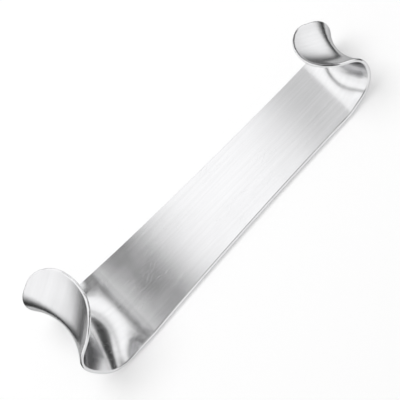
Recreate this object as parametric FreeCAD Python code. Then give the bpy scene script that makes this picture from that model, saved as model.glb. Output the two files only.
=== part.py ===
import FreeCAD, Part

import math
import os

# Double-ended hand-held retractor. One plate of steel, with no joints: a flat handle whose two
# ends are bent up and back over it into hooked, saddle-shaped blades of two sizes.
# Millimetres. X runs along the handle towards the small blade, Y across it, Z up.
# The origin is under the middle of the overall length, on the flat underside of the handle.
# The plate is made the way the real one is: a flat blank is cut to an outline, its thickness is
# tapered towards the tips, and it is pressed to shape. Along the blank runs the distance s, with
# s = 0 under the origin, and across it runs y. The pressing carries each (s, y) to a point.

os.makedirs("parts", exist_ok=True)
document = FreeCAD.newDocument("retractor")

# Driving dimensions. Lengths in mm, angles in degrees.
SIZES = {
    # whole plate
    "overall_length": 170.0,
    "handle_thickness": 2.0,
    "tip_thickness": 1.4,
    "edge_round": 0.7,
    "waist_width": 37.4,
    # large end, at the negative end of X
    "large_shoulder_width": 44.2,
    "large_blade_width": 43.0,
    "large_bend_radius": 22.0,
    "large_bend_angle": 80.2,
    "large_lip_bend_radius": 5.2,
    "large_lip_bend_angle": 65.5,
    "large_lip_length": 19.6,
    "large_lip_back_radius": 88.0,
    "large_edge_flare": 6.5,
    "large_flare_start": 3.0,
    "large_flare_length": 18.0,
    "large_corner_radius": 15.8,
    "large_tip_radius": 59.5,
    # small end, at the positive end of X
    "small_shoulder_width": 34.3,
    "small_blade_width": 27.6,
    "small_bend_radius": 16.2,
    "small_bend_angle": 83.6,
    "small_lip_bend_radius": 6.5,
    "small_lip_bend_angle": 57.1,
    "small_lip_length": 15.0,
    "small_lip_back_radius": 52.7,
    "small_edge_flare": 4.6,
    "small_flare_start": 3.0,
    "small_flare_length": 18.6,
    "small_corner_radius": 11.3,
    "small_tip_radius": 33.7,
}
sheet = document.addObject("Spreadsheet::Sheet", "Sizes")
for row, (alias, value) in enumerate(SIZES.items(), start=1):
    sheet.set("A%d" % row, alias)
    sheet.set("B%d" % row, str(value))
    sheet.setAlias("B%d" % row, alias)
document.recompute()


def size(alias):
    return float(sheet.get(alias))


# A change of curvature is spread over this many millimetres either side of where it happens, so
# each end leaves the flat handle this far before its bend starts.
BLEND = 3.0
# The profile of an end is added up in steps this long.
STEP = 0.05
# The surfaces pass through rows of points this far apart, on the hooks and along the handle.
HOOK_SPACING = 2.0
HANDLE_SPACING = 15.0
# The rounded edge is made in this many strips.
EDGE_STRIPS = 6

handle_thickness = size("handle_thickness")
edge_round = size("edge_round")


def ease(t):
    """Goes smoothly from 0 to 1 while t does."""
    t = min(max(t, 0.0), 1.0)
    return t * t * (3.0 - 2.0 * t)


def spaced(low, high, step):
    """Evenly spaced values from low to high, about a step apart."""
    count = max(int(round((high - low) / step)), 2)
    return [low + (high - low) * i / count for i in range(count + 1)]


class Hook:
    """One bent end. Along it runs u, from where the bend starts, and across it y.

    Its points are given with x outward along the handle from the start of the bend.
    """

    def __init__(self, end):
        self.bend_radius = size(end + "_bend_radius")
        self.lip_bend_radius = size(end + "_lip_bend_radius")
        self.back_radius = size(end + "_lip_back_radius")
        self.bend_end = self.bend_radius * math.radians(size(end + "_bend_angle"))
        lip_bend = self.lip_bend_radius * math.radians(size(end + "_lip_bend_angle"))
        self.lip_start = self.bend_end + lip_bend
        self.length = self.lip_start + size(end + "_lip_length")
        self.half_width = size(end + "_blade_width") / 2.0
        self.flare = size(end + "_edge_flare")
        self.flare_start = size(end + "_flare_start")
        self.flare_length = size(end + "_flare_length")
        self.add_up()
        self.start = size("overall_length") / 2.0 - self.reach()

    def curvature(self, u):
        """Straight handle, main bend, tighter bend, then a lip that curves back a little."""
        into_bend = ease((u + BLEND) / (2.0 * BLEND)) / self.bend_radius
        tighter = 1.0 / self.lip_bend_radius - 1.0 / self.bend_radius
        into_lip_bend = ease((u - self.bend_end + BLEND) / (2.0 * BLEND)) * tighter
        back = -1.0 / self.back_radius - 1.0 / self.lip_bend_radius
        into_lip = ease((u - self.lip_start + BLEND) / (2.0 * BLEND)) * back
        return into_bend + into_lip_bend + into_lip

    def add_up(self):
        """Adds the curvature up to an angle, and the angle to positions, from -BLEND on."""
        count = int(math.ceil((self.length + BLEND) / STEP))
        self.step = (self.length + BLEND) / count
        x = -BLEND
        z = 0.0
        angle = 0.0
        self.profile = [(x, z, angle)]
        for i in range(count):
            middle = -BLEND + (i + 0.5) * self.step
            turned = self.curvature(middle) * self.step
            x += math.cos(angle + turned / 2.0) * self.step
            z += math.sin(angle + turned / 2.0) * self.step
            angle += turned
            self.profile.append((x, z, angle))

    def at(self, u):
        """Position and angle of the profile, on the outer face, at u."""
        if u <= -BLEND:
            return u, 0.0, 0.0
        place = (u + BLEND) / self.step
        low = min(int(place), len(self.profile) - 2)
        part = place - low
        one = self.profile[low]
        two = self.profile[low + 1]
        return tuple(a + (b - a) * part for a, b in zip(one, two))

    def thickness(self, u):
        """Full on the handle, then thinner along the hook towards its tip."""
        thinner = handle_thickness - size("tip_thickness")
        return handle_thickness - thinner * ease(u / self.length)

    def camber(self, u):
        """The edges stand out from the middle by camber times y squared."""
        full = self.flare / self.half_width ** 2
        return full * ease((u - self.flare_start) / self.flare_length)

    def outer(self, u, y):
        """Carries a point of the blank to the outer face."""
        x, z, angle = self.at(u)
        stand_out = self.camber(u) * y * y
        return FreeCAD.Vector(x + math.sin(angle) * stand_out, y, z - math.cos(angle) * stand_out)

    def outward(self, u, y):
        """The direction square to the outer face, away from the plate."""
        little = 0.01
        along = self.outer(u + little, y) - self.outer(u - little, y)
        across = self.outer(u, y + little) - self.outer(u, y - little)
        return across.cross(along).normalize()

    def inner(self, u, y):
        """Carries a point of the blank to the inner face, square through the plate."""
        return self.outer(u, y) - self.outward(u, y) * self.thickness(u)

    def reach(self):
        """How far the rounded, flared edge comes out beyond the start of the bend."""
        furthest = 0.0
        for u in spaced(0.0, self.lip_start, STEP):
            for turn in spaced(0.0, math.pi / 2.0, math.pi / 16.0):
                y = self.half_width - edge_round * (1.0 - math.sin(turn))
                outer_share = (1.0 + math.cos(turn)) / 2.0
                point = self.outer(u, y) * outer_share + self.inner(u, y) * (1.0 - outer_share)
                furthest = max(furthest, point.x)
        return furthest


def curve_along(point_at, values):
    """A smooth curve through the points at these values, leaving and arriving as point_at does."""
    points = [point_at(value) for value in values]
    little = 1e-4
    curve = Part.BSplineCurve()
    curve.interpolate(
        Points=points,
        Parameters=values,
        InitialTangent=(point_at(values[0] + little) - points[0]) * (1.0 / little),
        FinalTangent=(points[-1] - point_at(values[-1] - little)) * (1.0 / little),
        Scale=False,
    )
    return curve


def curve_through(points, values):
    curve = Part.BSplineCurve()
    curve.interpolate(Points=points, Parameters=values)
    return curve


def surface_through(point_at, along_values, across_values):
    """A smooth surface through the points of point_at(along, across) at these values."""
    sections = []
    for along in along_values:
        sections.append(curve_along(lambda across: point_at(along, across), across_values))
    pole_rows = [section.getPoles() for section in sections]
    rails = []
    for j in range(len(pole_rows[0])):
        rails.append(curve_through([row[j] for row in pole_rows], along_values))
    poles = []
    for i in range(rails[0].NbPoles):
        poles.append([rail.getPole(i + 1) for rail in rails])
    surface = Part.BSplineSurface()
    surface.buildFromPolesMultsKnots(
        poles,
        rails[0].getMultiplicities(),
        sections[0].getMultiplicities(),
        rails[0].getKnots(),
        sections[0].getKnots(),
        False,
        False,
        3,
        3,
    )
    return surface


class Side:
    """A stretch of a long side of the blank, run from its first place to its last."""

    def __init__(self, half_width, sign, places):
        self.half_width = half_width
        self.sign = sign
        self.first = places[0]
        self.way = math.copysign(1.0, places[-1] - places[0])
        self.values = [abs(place - self.first) for place in places]

    def at(self, distance, out_by):
        """The point this far along the stretch, moved out of the blank by out_by."""
        place = self.first + self.way * distance
        return place, self.sign * (self.half_width(place) + out_by)


class Arc:
    """An arc of a rounded end of the blank, run from its first angle to its last."""

    def __init__(self, centre, radius, first, last):
        self.centre = centre
        self.radius = radius
        self.first = first
        self.last = last
        self.values = spaced(0.0, radius * (first - last), HOOK_SPACING)

    def at(self, distance, out_by):
        """The point this far along the arc, moved out of the blank by out_by."""
        angle = self.first - distance / self.radius
        reach = self.radius + out_by
        return self.centre[0] + reach * math.cos(angle), self.centre[1] + reach * math.sin(angle)


def rounded_end(end, hook):
    """The corner, tip and corner arcs of one end, and where they meet its long sides."""
    quarter = math.pi / 2.0
    corner_radius = min(size(end + "_corner_radius"), 0.98 * hook.half_width)
    tip_radius = max(size(end + "_tip_radius"), 1.02 * hook.half_width)
    rise = hook.half_width - corner_radius
    run = math.sqrt((tip_radius - corner_radius) ** 2 - rise ** 2)
    turn = math.atan2(rise, run)
    tip_centre = hook.length - tip_radius
    corner = tip_centre + run
    arcs = [
        Arc((corner, rise), corner_radius, quarter, turn),
        Arc((tip_centre, 0.0), tip_radius, turn, -turn),
        Arc((corner, -rise), corner_radius, -turn, -quarter),
    ]
    return arcs, corner


def rim_strips(piece, outer_at, inner_at):
    """The rounded edge along a piece of the outline, in strips from the outer face to the inner."""

    def rim_point(distance, turn):
        along, across = piece.at(distance, edge_round * (math.sin(turn) - 1.0))
        outer_share = (1.0 + math.cos(turn)) / 2.0
        return outer_at(along, across) * outer_share + inner_at(along, across) * (1.0 - outer_share)

    turns = [math.pi * i / EDGE_STRIPS for i in range(EDGE_STRIPS + 1)]
    return [surface_through(rim_point, piece.values, [low, high]) for low, high in zip(turns, turns[1:])]


def face_lines(pieces_of_rim, face):
    """The lines where the rounded edge meets the outer face (0) or the inner face (1)."""
    if face == 0:
        return [strips[0].vIso(0.0).toShape() for strips in pieces_of_rim]
    return [strips[-1].vIso(math.pi).toShape() for strips in pieces_of_rim]


def line_across(x, half, z):
    """Where a hook leaves the flat handle, on one of the plate's faces."""
    return Part.makeLine(FreeCAD.Vector(x, half, z), FreeCAD.Vector(x, -half, z))


def solid_from(faces):
    shell = Part.makeShell(faces)
    shell.sewShape()
    solid = Part.makeSolid(shell)
    if solid.Volume < 0.0:
        solid.reverse()
    return solid


large = Hook("large")
small = Hook("small")

# Along the handle the half width is a parabola through both shoulders and the waist.
waist = size("waist_width") / 2.0
to_large = (size("large_shoulder_width") / 2.0 - waist) / large.start
to_small = (size("small_shoulder_width") / 2.0 - waist) / small.start
bow = (to_large + to_small) / (large.start + small.start)
lean = to_small - bow * small.start


def handle_half_width(s):
    return waist + lean * s + bow * s * s


def hook_half_width(hook, way, u):
    """The handle's parabola up to the bend, then a cubic that runs level into the blade."""
    if u <= 0.0:
        return handle_half_width(way * (hook.start + u))
    shoulder = handle_half_width(way * hook.start)
    slope = 2.0 * bow * hook.start + way * lean
    t = min(u / hook.bend_end, 1.0)
    level = shoulder + (hook.half_width - shoulder) * ease(t)
    return level + slope * hook.bend_end * t * (1.0 - t) ** 2


# The hooks, one at each end. Their faces are curved both along and across.
faces = []
for end, hook, way in (("large", large, -1.0), ("small", small, 1.0)):
    # these small functions are used within this turn of the loop only
    def placed(point):
        return FreeCAD.Vector(way * (hook.start + point.x), point.y, point.z)

    def half_width(u):
        return hook_half_width(hook, way, u)

    arcs, corner = rounded_end(end, hook)
    places = spaced(-BLEND, corner, HOOK_SPACING)
    outline = [Side(half_width, 1.0, places)] + arcs + [Side(half_width, -1.0, places[::-1])]
    widest = max(half_width(u) for u in places)
    along = places + spaced(corner, hook.length + HOOK_SPACING, HOOK_SPACING)[1:]
    across = spaced(-widest, widest, widest / 2.0)
    outer = surface_through(lambda u, y: placed(hook.outer(u, y)), along, across)
    inner = surface_through(lambda u, y: placed(hook.inner(u, y)), along, across)
    rim = [rim_strips(piece, outer.value, inner.value) for piece in outline]
    faces += [strip.toShape() for strips in rim for strip in strips]
    edge = half_width(-BLEND) - edge_round
    leaves = way * (hook.start - BLEND)
    for side, surface, z in ((0, outer, 0.0), (1, inner, handle_thickness)):
        face = Part.Face(surface, Part.Wire(face_lines(rim, side) + [line_across(leaves, edge, z)]))
        face.validate()
        faces.append(face)

# The flat handle between them.
handle_from = BLEND - large.start
handle_to = small.start - BLEND
places = spaced(handle_from, handle_to, HANDLE_SPACING)
rim = []
for sign in (1.0, -1.0):
    side = Side(handle_half_width, sign, places)
    rim.append(
        rim_strips(
            side,
            lambda s, y: FreeCAD.Vector(s, y, 0.0),
            lambda s, y: FreeCAD.Vector(s, y, handle_thickness),
        )
    )
faces += [strip.toShape() for strips in rim for strip in strips]
for face_index, z in ((0, 0.0), (1, handle_thickness)):
    ends = [line_across(x, handle_half_width(x) - edge_round, z) for x in (handle_from, handle_to)]
    lines = face_lines(rim, face_index)
    faces.append(Part.Face(Part.Wire([lines[0], ends[1], lines[1], ends[0]])))

# The plate is a doubly curved pressing that no sketch feature makes, so its shape is set here
# from the surfaces above, with every size read from the sheet.
retractor = document.addObject("Part::Feature", "retractor")
retractor.Label = "retractor"
retractor.Shape = solid_from(faces)
document.recompute()

for item in document.Objects:
    if "Invalid" in item.State or "Error" in item.State:
        raise RuntimeError("%s did not compute" % item.Label)
shape = retractor.Shape
if shape.isNull() or not shape.isValid() or len(shape.Solids) != 1:
    raise RuntimeError("the plate is not one valid solid")
shape.exportStep("parts/%s.step" % retractor.Label)
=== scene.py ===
# %% [markdown]
# # A handheld surgical retractor in polished steel
# A retractor of this kind is one strip of stainless steel. Both ends are bent up into hooks, and each
# hook rolls back into a saddle-shaped blade that holds the edges of a wound apart.
# The exact shape comes from the CAD frame. This lesson gives it its steel and its studio.

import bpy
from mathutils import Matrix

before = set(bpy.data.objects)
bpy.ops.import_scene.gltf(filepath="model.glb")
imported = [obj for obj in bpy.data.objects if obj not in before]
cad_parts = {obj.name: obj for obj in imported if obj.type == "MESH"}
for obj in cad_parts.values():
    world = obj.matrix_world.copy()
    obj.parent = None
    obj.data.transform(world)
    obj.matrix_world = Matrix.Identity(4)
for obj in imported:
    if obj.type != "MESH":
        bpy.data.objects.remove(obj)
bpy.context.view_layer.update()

# %% [markdown]
# The CAD solid is already the finished form, its rounded edge included. It could be modelled again here
# as a bent and thickened grid, but that would only be a second copy of the same surfaces. So the CAD
# mesh stays, and the work goes into its steel and into what the steel mirrors.

# %% Fetch the strip
from math import cos, radians, sin

import bmesh
import bpy
from mathutils import Matrix, Vector

MM = 0.001
scene = bpy.context.scene
steel_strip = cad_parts["retractor"]
print("faces in the strip:", len(steel_strip.data.polygons))

# %% [markdown]
# ## The camera
# The drawing looks down on the strip from its long side, and the strip runs up to the right across
# the page. The camera could be turned with three angles, but a look direction is easier to follow, and
# it is needed again for the panels. A roll about that direction then tilts the strip on the page.

# %% Find the look direction
CAMERA_TURN = radians(4.2)
CAMERA_HEIGHT = radians(54.5)
CAMERA_ROLL = radians(49.7)

look = Vector((-sin(CAMERA_TURN) * cos(CAMERA_HEIGHT),
               cos(CAMERA_TURN) * cos(CAMERA_HEIGHT),
               -sin(CAMERA_HEIGHT)))
level_right = look.cross(Vector((0, 0, 1))).normalized()
level_up = level_right.cross(look)
right = cos(CAMERA_ROLL) * level_right - sin(CAMERA_ROLL) * level_up
up = sin(CAMERA_ROLL) * level_right + cos(CAMERA_ROLL) * level_up
print("look direction:", [round(part, 3) for part in look])

# %% [markdown]
# A drawing like this hardly narrows with distance. A long lens from two metres away does the same.

# %% Place the camera
CAMERA_DISTANCE = 2.0
FRAME_WIDTH = 164.7 * MM
FRAME_MIDDLE = Vector((-3.2 * MM, 2.2 * MM, 9.7 * MM))
SENSOR_WIDTH = 36.0

lens = bpy.data.cameras.new("studio_camera")
lens.sensor_width = SENSOR_WIDTH
lens.lens = SENSOR_WIDTH * CAMERA_DISTANCE / FRAME_WIDTH
camera = bpy.data.objects.new("studio_camera", lens)
scene.collection.objects.link(camera)
turn = Matrix((right, up, -look)).transposed().to_4x4()
camera.matrix_world = Matrix.Translation(FRAME_MIDDLE - CAMERA_DISTANCE * look) @ turn
scene.camera = camera
print("lens in mm:", round(lens.lens, 1))

# %% [markdown]
# ## The white room
# The drawing has plain white paper all round the steel. More light could make the room white, but it
# would wash out the shadow on the floor. So the world is white only where the camera or a mirror sees
# it, and it lights the floor at a lower level.

# %% Helpers for node trees
def add_node(tree, kind, **settings):
    """A new node of this kind, with its settings made."""
    node = tree.nodes.new(kind)
    for name, value in settings.items():
        setattr(node, name, value)
    return node


def join(tree, source, target):
    """Wires one socket to the next."""
    tree.links.new(source, target)


def maths(tree, operation, first, second=None):
    """A Math node. Each side is a number or a socket."""
    node = add_node(tree, "ShaderNodeMath", operation=operation)
    for place, value in enumerate((first, second)):
        if isinstance(value, (int, float)):
            node.inputs[place].default_value = value
        elif value is not None:
            join(tree, value, node.inputs[place])
    return node.outputs[0]


def seen_or_mirrored(tree):
    """One where the camera sees a thing, itself or in metal or glass, and nought for other light."""
    path = add_node(tree, "ShaderNodeLightPath")
    direct = maths(tree, "MAXIMUM", path.outputs["Is Camera Ray"], path.outputs["Is Glossy Ray"])
    return maths(tree, "MAXIMUM", direct, path.outputs["Is Transmission Ray"])


# %% Make the world
WORLD_LIGHT = 0.55
WHITE = (1.0, 1.0, 1.0, 1.0)

scene.view_settings.view_transform = "Standard"
world = bpy.data.worlds.new("white_room")
scene.world = world
world.use_nodes = True
sky = world.node_tree
backdrop = sky.nodes["Background"]
backdrop.inputs["Color"].default_value = WHITE
extra_white = maths(sky, "MULTIPLY", seen_or_mirrored(sky), 1.0 - WORLD_LIGHT)
join(sky, maths(sky, "ADD", extra_white, WORLD_LIGHT), backdrop.inputs["Strength"])
print("world light:", WORLD_LIGHT)

# %% [markdown]
# The floor is matt white paper that also glows for the camera and in mirrors. A floor that only glows
# would lose the shadow, and then the strip would float. The matt share keeps the shadow, faint and
# soft, and lets the steel darken a little where it comes close to the floor.

# %% Lay the floor
FLOOR_SIZE = 3.0
FLOOR_DROP = 0.2 * MM


def flat_sheet(name, width, height):
    """A flat rectangle about the origin, as a new object in the scene."""
    shape = bmesh.new()
    bmesh.ops.create_grid(shape, x_segments=1, y_segments=1, size=0.5)
    bmesh.ops.scale(shape, vec=(width, height, 1.0), verts=shape.verts)
    mesh = bpy.data.meshes.new(name)
    shape.to_mesh(mesh)
    shape.free()
    flat = bpy.data.objects.new(name, mesh)
    scene.collection.objects.link(flat)
    return flat


floor = flat_sheet("floor", FLOOR_SIZE, FLOOR_SIZE)
floor.location.z = -FLOOR_DROP
print("floor:", FLOOR_SIZE, "m square")

# %% Make the paper
PAPER_WHITE = 0.95
SHADOW_SHARE = 0.6


def bare_material(name):
    """A new material with an empty node tree, and that tree."""
    material = bpy.data.materials.new(name)
    material.use_nodes = True
    material.node_tree.nodes.clear()
    return material, material.node_tree


paper, tree = bare_material("white_paper")
matt = add_node(tree, "ShaderNodeBsdfDiffuse")
matt.inputs["Color"].default_value = (PAPER_WHITE, PAPER_WHITE, PAPER_WHITE, 1.0)
glow = add_node(tree, "ShaderNodeEmission")
both = add_node(tree, "ShaderNodeMixShader")
join(tree, maths(tree, "MULTIPLY", seen_or_mirrored(tree), 1.0 - SHADOW_SHARE), both.inputs[0])
join(tree, matt.outputs[0], both.inputs[1])
join(tree, glow.outputs[0], both.inputs[2])
ending = add_node(tree, "ShaderNodeOutputMaterial")
join(tree, both.outputs[0], ending.inputs["Surface"])
floor.data.materials.append(paper)
print("share of true shadow on the floor:", SHADOW_SHARE)

# %% [markdown]
# One large soft lamp above lights the floor. A small one would cast a hard shadow, which the drawing
# hasn't got. It stays out of reflections, because a square lamp would show in the steel.

# %% Hang the soft lamp
LAMP_SIZE = 0.8
LAMP_PLACE = Vector((-0.1, 0.3, 0.95))
LAMP_WATTS = 6.4

lamp = bpy.data.lights.new("soft_lamp", "AREA")
lamp.size = LAMP_SIZE
lamp.energy = LAMP_WATTS
lamp_stand = bpy.data.objects.new("soft_lamp", lamp)
scene.collection.objects.link(lamp_stand)
lamp_stand.location = LAMP_PLACE
lamp_stand.rotation_euler = (-LAMP_PLACE).to_track_quat("-Z", "Y").to_euler()
lamp_stand.visible_glossy = False
print("lamp:", LAMP_SIZE, "m across")

# %% [markdown]
# ## Panels for the steel to mirror
# Polished steel has hardly a colour of its own. It shows what stands round it, and in an even white
# room its form would be lost. A photographer therefore hangs bright and dark panels round it.
# They could be lamps, but plain glowing sheets can carry a soft pattern. Only their reflections count
# here, so they stay out of the camera's sight and cast no shadow. Each fades to the room's white at
# its border, so that no hard edge of it shows in the metal.

# %% Fade a panel at its border
def soft_border(tree, sides, width, height, softness):
    """One in the middle of a panel, falling smoothly to nought at its border."""
    shares = []
    for side, half in ((sides.outputs["X"], width / 2), (sides.outputs["Y"], height / 2)):
        fade = add_node(tree, "ShaderNodeMapRange", interpolation_type="SMOOTHSTEP")
        join(tree, maths(tree, "ABSOLUTE", side), fade.inputs["Value"])
        fade.inputs["From Min"].default_value = half
        fade.inputs["From Max"].default_value = half * (1.0 - softness)
        shares.append(fade.outputs["Result"])
    return maths(tree, "MULTIPLY", *shares)


# %% Draw soft bands along a panel
BRIGHTEST = 2.0


def soft_bands(tree, sides, width, bands):
    """The brightness along a panel, as a smooth curve through its bands of place and brightness."""
    curve = add_node(tree, "ShaderNodeFloatCurve")
    points = curve.mapping.curves[0].points
    while len(points) < len(bands):
        points.new(0.5, 0.5)
    for point, (where, level) in zip(points, bands):
        point.location = (where / width + 0.5, level / BRIGHTEST)
    curve.mapping.update()
    share = maths(tree, "DIVIDE", sides.outputs["X"], width)
    join(tree, maths(tree, "ADD", share, 0.5), curve.inputs["Value"])
    return maths(tree, "MULTIPLY", curve.outputs[0], BRIGHTEST)


# %% Hang a panel
MOSTLY_SIDEWAYS = 0.5


def hang_panel(name, centre, faces, width, height, softness, level=1.0, bands=None):
    """A panel at a place, turned to face another, with one brightness or with bands."""
    panel = flat_sheet(name, width, height)
    outward = (Vector(faces) - Vector(centre)).normalized()
    across = Vector((1, 0, 0)) if abs(outward.x) < MOSTLY_SIDEWAYS else Vector((0, 1, 0))
    upward = outward.cross(across).normalized()
    facing = Matrix((upward.cross(outward), upward, outward)).transposed().to_4x4()
    panel.matrix_world = Matrix.Translation(centre) @ facing
    panel.visible_camera = False
    panel.visible_diffuse = False
    panel.visible_shadow = False

    cloth, tree = bare_material(name)
    sides = add_node(tree, "ShaderNodeSeparateXYZ")
    join(tree, add_node(tree, "ShaderNodeTexCoord").outputs["Object"], sides.inputs[0])
    brightness = soft_bands(tree, sides, width, bands) if bands else level
    change = maths(tree, "MULTIPLY", maths(tree, "SUBTRACT", brightness, 1.0),
                   soft_border(tree, sides, width, height, softness))
    light = add_node(tree, "ShaderNodeEmission")
    join(tree, maths(tree, "ADD", change, 1.0), light.inputs["Strength"])
    ending = add_node(tree, "ShaderNodeOutputMaterial")
    join(tree, light.outputs[0], ending.inputs["Surface"])
    panel.data.materials.append(cloth)
    print("panel:", name, round(width / MM), "x", round(height / MM), "mm")


# %% [markdown]
# The handle is a flat mirror, so it shows one patch above it, on the far side from the camera. The shade
# drawn along the handle is white in the middle, with a darker grey band near the large hook and a
# lighter, wider one near the small hook. One panel carries both. It hangs close, because from far away
# the slightly rough steel would blur the bands together.

# %% Hang the panel for the handle
HANDLE_PANEL_DISTANCE = 160 * MM
HANDLE_PANEL_WIDTH = 640 * MM
HANDLE_PANEL_HEIGHT = 340 * MM
WIDE_FADE = 0.35
BRIGHT = 1.2

# Each band is a row of places along the panel, with the brightness at each.
large_end = [(-HANDLE_PANEL_WIDTH / 2, 1.0), (-150 * MM, BRIGHT), (-64 * MM, BRIGHT)]
dark_band = [(-58 * MM, 0.95), (-50 * MM, 0.0), (-40 * MM, 0.1), (-29 * MM, 0.95)]
bright_middle = [(-20 * MM, BRIGHT), (32 * MM, BRIGHT)]
pale_band = [(50 * MM, 0.8), (64 * MM, 0.62), (76 * MM, 0.8)]
small_end = [(88 * MM, BRIGHT), (HANDLE_PANEL_WIDTH / 2, 1.0)]
mirror_way = Vector((look.x, look.y, -look.z))
hang_panel("handle_panel", mirror_way * HANDLE_PANEL_DISTANCE, (0, 0, 0),
           HANDLE_PANEL_WIDTH, HANDLE_PANEL_HEIGHT, softness=WIDE_FADE,
           bands=large_end + dark_band + bright_middle + pale_band + small_end)

# %% [markdown]
# A dark panel at the camera shows only in the parts that face the camera. Those are the rounded edges,
# which so get a thin grey line where the drawing has a black one. The inside of the large bend is drawn
# dark as well. It mirrors a dark panel that hangs above the small hook.

# %% Hang the dark panels
CAMERA_PANEL_SIZE = 620 * MM
CAMERA_PANEL_DISTANCE = 500 * MM
CAMERA_PANEL_LEVEL = 0.12
BEND_PANEL_WIDTH = 330 * MM
BEND_PANEL_HEIGHT = 120 * MM
BEND_PANEL_PLACE = Vector((92 * MM, 20 * MM, 92 * MM))
BEND_PANEL_FADE = 0.2
BEND_PANEL_LEVEL = 0.02
LARGE_BEND = -80 * MM

hang_panel("camera_panel", -look * CAMERA_PANEL_DISTANCE, (0, 0, 0),
           CAMERA_PANEL_SIZE, CAMERA_PANEL_SIZE, softness=WIDE_FADE, level=CAMERA_PANEL_LEVEL)
hang_panel("bend_panel", BEND_PANEL_PLACE, (LARGE_BEND, BEND_PANEL_PLACE.y, BEND_PANEL_PLACE.z),
           BEND_PANEL_WIDTH, BEND_PANEL_HEIGHT, softness=BEND_PANEL_FADE, level=BEND_PANEL_LEVEL)

# %% [markdown]
# Each blade is drawn white on top and dark towards its hollow edge. The top mirrors a bright panel
# beyond its end of the strip, and the hollow edge mirrors a low dark flag that leans close in front of
# the blade. Grey paint on the steel could fake this, but it would be wrong from every other side.

# %% Hang a bright panel at each end
LARGE, SMALL = -1, 1
BLADE_REACH = 80 * MM
BLADE_MIDDLE = 20 * MM
END_PANEL_REACH = 350 * MM
END_PANEL_BACK = 90 * MM
END_PANEL_RISE = 130 * MM
END_PANEL_WIDTH = 400 * MM
END_PANEL_HEIGHT = 240 * MM
END_PANEL_FADE = 0.4
END_PANEL_LEVEL = 1.14

for side in (LARGE, SMALL):
    hang_panel("end_panel", (side * END_PANEL_REACH, END_PANEL_BACK, END_PANEL_RISE),
               (side * BLADE_REACH, 0, BLADE_MIDDLE), END_PANEL_WIDTH, END_PANEL_HEIGHT,
               softness=END_PANEL_FADE, level=END_PANEL_LEVEL)

# %% Stand a low flag at each end
FLAG_REACHES = {LARGE: 108 * MM, SMALL: 106 * MM}
FLAG_RISES = {LARGE: 2 * MM, SMALL: 0.0}
FLAG_HEIGHTS = {LARGE: 100 * MM, SMALL: 76 * MM}
FLAG_WIDTH = 240 * MM
FLAG_BACK = 20 * MM
FLAG_LEAN = 28 * MM
FLAG_FADE = 0.85
FLAG_LEVEL = 0.03

for side in (LARGE, SMALL):
    rise = FLAG_RISES[side]
    hang_panel("low_flag", (side * FLAG_REACHES[side], FLAG_BACK, rise),
               (side * BLADE_REACH, FLAG_BACK, rise + FLAG_LEAN), FLAG_WIDTH, FLAG_HEIGHTS[side],
               softness=FLAG_FADE, level=FLAG_LEVEL)

# %% [markdown]
# ## The steel
# Instruments of this kind are ground on a belt along their length and then buffed. That leaves fine
# long lines, which follow the strip round its bends. They change mostly across the width, so they can
# be a noise that is stretched along the length and the height: it then follows the bends by itself.
# Painting them would need an unrolled map of the strip, and this way they stay sharp close up.

# %% Helpers for node groups
NUMBER = "NodeSocketFloat"
PLACE = "NodeSocketVector"


def new_group(name, inputs, output):
    """An empty node group with named sockets, and its two end nodes."""
    group = bpy.data.node_groups.new(name, "ShaderNodeTree")
    for label, kind in inputs:
        group.interface.new_socket(label, in_out="INPUT", socket_type=kind)
    group.interface.new_socket(output, in_out="OUTPUT", socket_type=NUMBER)
    return group, add_node(group, "NodeGroupInput"), add_node(group, "NodeGroupOutput")


def use_group(tree, group, **values):
    """A group in a tree. Each value is a number or a socket."""
    node = add_node(tree, "ShaderNodeGroup", node_tree=group)
    for label, value in values.items():
        if isinstance(value, (int, float)):
            node.inputs[label].default_value = value
        else:
            join(tree, value, node.inputs[label])
    return node.outputs[0]


# %% Make the group of long lines
LINE_DETAIL = 2.0

lines_group, given, made = new_group(
    "long_lines", [("Place", PLACE), ("Length", NUMBER), ("Width", NUMBER), ("Turn", NUMBER)], "Lines")
turned = add_node(lines_group, "ShaderNodeVectorRotate", rotation_type="Z_AXIS")
join(lines_group, given.outputs["Place"], turned.inputs["Vector"])
join(lines_group, given.outputs["Turn"], turned.inputs["Angle"])
per_metre = add_node(lines_group, "ShaderNodeCombineXYZ")
for axis, size in (("X", "Length"), ("Y", "Width"), ("Z", "Length")):
    join(lines_group, maths(lines_group, "DIVIDE", 1.0, given.outputs[size]), per_metre.inputs[axis])
stretched = add_node(lines_group, "ShaderNodeVectorMath", operation="MULTIPLY")
join(lines_group, turned.outputs[0], stretched.inputs[0])
join(lines_group, per_metre.outputs[0], stretched.inputs[1])
grain = add_node(lines_group, "ShaderNodeTexNoise")
grain.inputs["Scale"].default_value = 1.0
grain.inputs["Detail"].default_value = LINE_DETAIL
join(lines_group, stretched.outputs[0], grain.inputs["Vector"])
join(lines_group, grain.outputs[0], made.inputs["Lines"])
print("group:", lines_group.name)

# %% [markdown]
# Use and cleaning add short hair scratches that cross the grain, in some places and not in others.
# Single scratches could be drawn one by one. It is easier to keep only the highest crests of the same
# stretched noise, turned a little, and only inside patches of a second, broad noise.

# %% Make the group of scratches
SCRATCH_LENGTH = 9 * MM
SCRATCH_WIDTH = 0.16 * MM
SCRATCH_PATCH = 16 * MM
CRESTS_FROM, CRESTS_FULL = 0.64, 0.74
PATCHES_FROM, PATCHES_FULL = 0.45, 0.62


def between(tree, value, low, high):
    """Nought below low, one above high, and smooth between."""
    step = add_node(tree, "ShaderNodeMapRange", interpolation_type="SMOOTHSTEP")
    join(tree, value, step.inputs["Value"])
    step.inputs["From Min"].default_value = low
    step.inputs["From Max"].default_value = high
    return step.outputs["Result"]


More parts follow.
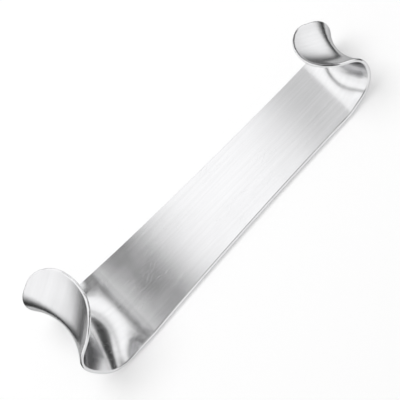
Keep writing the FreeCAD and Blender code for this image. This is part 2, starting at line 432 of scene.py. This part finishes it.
scratch_group, given, made = new_group("scratches", [("Place", PLACE), ("Turn", NUMBER)], "Scratches")
hair = use_group(scratch_group, lines_group, Place=given.outputs["Place"], Length=SCRATCH_LENGTH,
                 Width=SCRATCH_WIDTH, Turn=given.outputs["Turn"])
patches = add_node(scratch_group, "ShaderNodeTexNoise")
patches.inputs["Scale"].default_value = 1 / SCRATCH_PATCH
join(scratch_group, given.outputs["Place"], patches.inputs["Vector"])
crests = between(scratch_group, hair, CRESTS_FROM, CRESTS_FULL)
inside = between(scratch_group, patches.outputs[0], PATCHES_FROM, PATCHES_FULL)
join(scratch_group, maths(scratch_group, "MULTIPLY", crests, inside), made.inputs["Scratches"])
print("group:", scratch_group.name)

# %% [markdown]
# The bare steel is a metal of a light, nearly neutral grey. Its Specular Tint is lowered, so that the
# metal turns darker where it is seen at a flat angle. Real steel keeps brighter there, but the drawing
# shades its steep parts dark in this way.

# %% Start the steel
STEEL = (0.78, 0.78, 0.79)
EDGE_TINT = 0.45

steel = bpy.data.materials.new("buffed_steel")
steel.use_nodes = True
tree = steel.node_tree
skin = tree.nodes["Principled BSDF"]
skin.inputs["Metallic"].default_value = 1.0
skin.inputs["Specular Tint"].default_value = (EDGE_TINT, EDGE_TINT, EDGE_TINT, 1.0)
place = add_node(tree, "ShaderNodeTexCoord").outputs["Object"]
print("steel:", STEEL)

# %% Place the lines, scratches and dull patches
FINE_LENGTH, FINE_WIDTH = 40 * MM, 0.3 * MM
BROAD_LENGTH, BROAD_WIDTH = 70 * MM, 1.8 * MM
SCRATCH_TURNS = (radians(24), radians(-31))
DULL_PATCH = 22 * MM
DULL_DETAIL = 4.0
DULL_FROM, DULL_FULL = 0.42, 0.68

fine_lines = use_group(tree, lines_group, Place=place, Length=FINE_LENGTH, Width=FINE_WIDTH)
broad_lines = use_group(tree, lines_group, Place=place, Length=BROAD_LENGTH, Width=BROAD_WIDTH)
crossing = [use_group(tree, scratch_group, Place=place, Turn=turn) for turn in SCRATCH_TURNS]
scratches = maths(tree, "MAXIMUM", *crossing)
dull = add_node(tree, "ShaderNodeTexNoise")
dull.inputs["Scale"].default_value = 1 / DULL_PATCH
dull.inputs["Detail"].default_value = DULL_DETAIL
join(tree, place, dull.inputs["Vector"])
dull_patches = between(tree, dull.outputs[0], DULL_FROM, DULL_FULL)
print("scratch directions:", len(crossing))

# %% [markdown]
# Hands and trays rub the rims first, so they are smoother than the faces. The rims could be painted
# with a mask. Here a Bevel node finds them: near a sharp turn, its averaged normal leaves the true one.

# %% Find the worn edges
EDGE_REACH = 0.5 * MM
EDGE_TURN = 0.05
BEVEL_SAMPLES = 6

averaged = add_node(tree, "ShaderNodeBevel", samples=BEVEL_SAMPLES)
averaged.inputs["Radius"].default_value = EDGE_REACH
likeness = add_node(tree, "ShaderNodeVectorMath", operation="DOT_PRODUCT")
join(tree, averaged.outputs[0], likeness.inputs[0])
join(tree, add_node(tree, "ShaderNodeNewGeometry").outputs["Normal"], likeness.inputs[1])
worn_edge = between(tree, maths(tree, "SUBTRACT", 1.0, likeness.outputs["Value"]), 0.0, EDGE_TURN)
print("worn within", EDGE_REACH / MM, "mm of an edge")

# %% [markdown]
# The effects now change the roughness, the colour and the relief. They could all go into the colour,
# but on real metal a scratch is seen by how it scatters light, so the colour changes least.

# %% Add up the effects
def add_effects(tree, start, effects):
    """A number plus each effect times its strength."""
    total = start
    for effect, strength in effects:
        total = maths(tree, "ADD", maths(tree, "MULTIPLY", effect, strength), total)
    return total


# %% Set the roughness
ROUGHNESS = 0.21
FINE_ROUGHNESS = 0.10
DULL_ROUGHNESS = 0.035
SCRATCH_ROUGHNESS = 0.10
WORN_ROUGHNESS = -0.06

fine_change = maths(tree, "SUBTRACT", fine_lines, 0.5)
roughness = add_effects(tree, ROUGHNESS, [(fine_change, FINE_ROUGHNESS), (dull_patches, DULL_ROUGHNESS),
                                          (scratches, SCRATCH_ROUGHNESS), (worn_edge, WORN_ROUGHNESS)])
join(tree, roughness, skin.inputs["Roughness"])
print("roughness:", ROUGHNESS)

# %% Set the colour
BROAD_SHADE = 0.10
FINE_SHADE = 0.10
SCRATCH_SHADE = -0.07

broad_change = maths(tree, "SUBTRACT", broad_lines, 0.5)
shade = add_effects(tree, 1.0, [(broad_change, BROAD_SHADE), (fine_change, FINE_SHADE),
                                (scratches, SCRATCH_SHADE)])
colour = add_node(tree, "ShaderNodeVectorMath", operation="SCALE")
colour.inputs[0].default_value = STEEL
join(tree, shade, colour.inputs["Scale"])
join(tree, colour.outputs[0], skin.inputs["Base Color"])
print("strength of the lines in the colour:", FINE_SHADE)

# %% Give the strip its relief and its steel
GROOVE_DEPTH = 0.002 * MM
BROAD_RELIEF = 2.0
SCRATCH_RELIEF = -0.8

bump = add_node(tree, "ShaderNodeBump")
bump.inputs["Strength"].default_value = 1.0
bump.inputs["Distance"].default_value = GROOVE_DEPTH
relief = add_effects(tree, fine_lines, [(broad_lines, BROAD_RELIEF), (scratches, SCRATCH_RELIEF)])
join(tree, relief, bump.inputs["Height"])
join(tree, bump.outputs[0], skin.inputs["Normal"])
for slot in steel_strip.material_slots:
    slot.material = steel
print("nodes in the steel:", len(tree.nodes))
